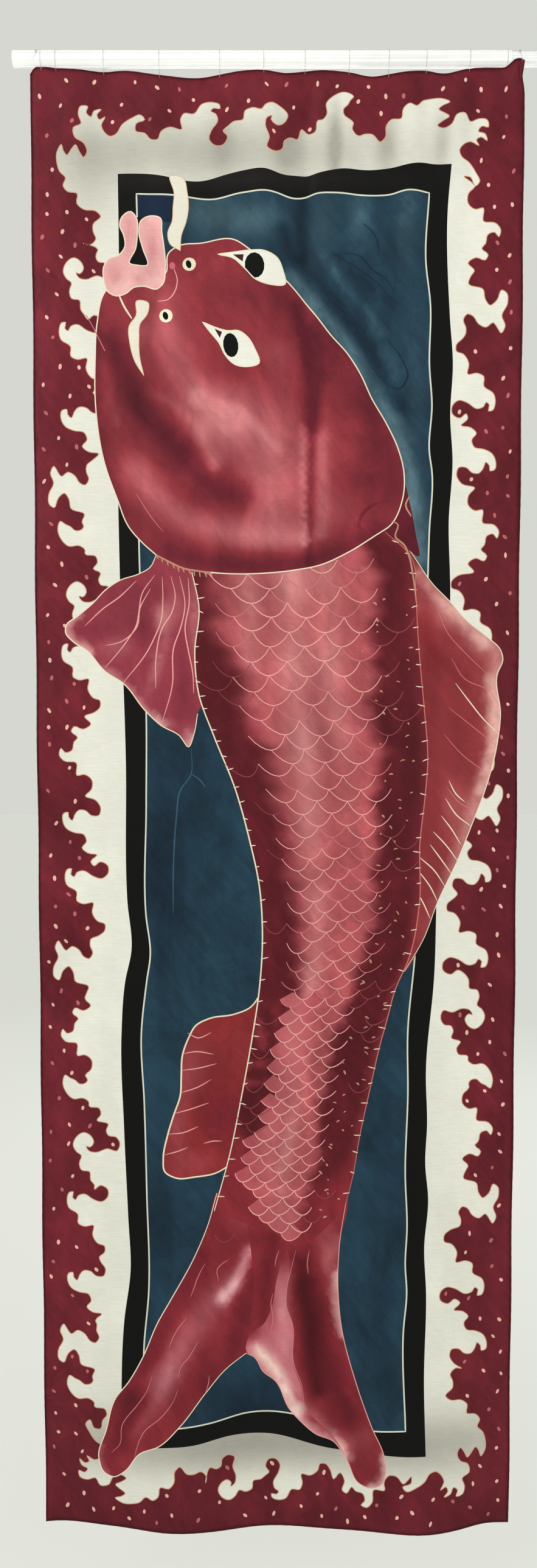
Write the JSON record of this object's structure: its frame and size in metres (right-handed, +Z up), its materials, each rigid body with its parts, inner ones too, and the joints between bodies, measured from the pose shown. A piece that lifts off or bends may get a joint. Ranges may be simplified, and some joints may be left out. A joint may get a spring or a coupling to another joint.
{
  "type": "painted silk wall banner",
  "caption": "Tall painted silk banner with a carp and a wave border, lashed by thread to a telescoping clear tube; it swings about the tube and folds half-way down.",
  "frame": {"origin": "on the tube's axis, midway across the banner", "axes": "+Z up; +X to the right across the banner as seen from its painted front; the front faces -Y"},
  "size_m": [0.966, 0.0357, 2.7866],
  "materials": {
    "clear_tube": "clear polished acrylic, slightly milky at the cut ends",
    "painted_silk": "fine plain-weave silk, dyed by hand inside thin resist lines",
    "thread": "thin twisted pale thread"
  },
  "bodies": {
    "outer_tube": {"outer_tube": "clear_tube"},
    "inner_tube": {"inner_tube": "clear_tube"},
    "banner_upper": {"silk_upper": "painted_silk", "silk_corner": "painted_silk", "lashing_thread": "thread", "left_knot": "thread", "right_knot": "thread"},
    "banner_lower": {"silk_lower": "painted_silk"}
  },
  "joints": [
    {"name": "tube_extend", "type": "slide", "parent": "outer_tube", "child": "inner_tube", "axis": [1, 0, 0], "range_m": [-0.02, 0.2]},
    {"name": "banner_swing", "type": "hinge", "parent": "outer_tube", "child": "banner_upper", "pos_m": [0, 0, 0], "axis": [-1, 0, 0], "range_deg": [-75, 75]},
    {"name": "banner_fold", "type": "hinge", "parent": "banner_upper", "child": "banner_lower", "pos_m": [0, 0, -1.386], "axis": [-1, 0, 0], "range_deg": [-120, 120]}
  ]
}
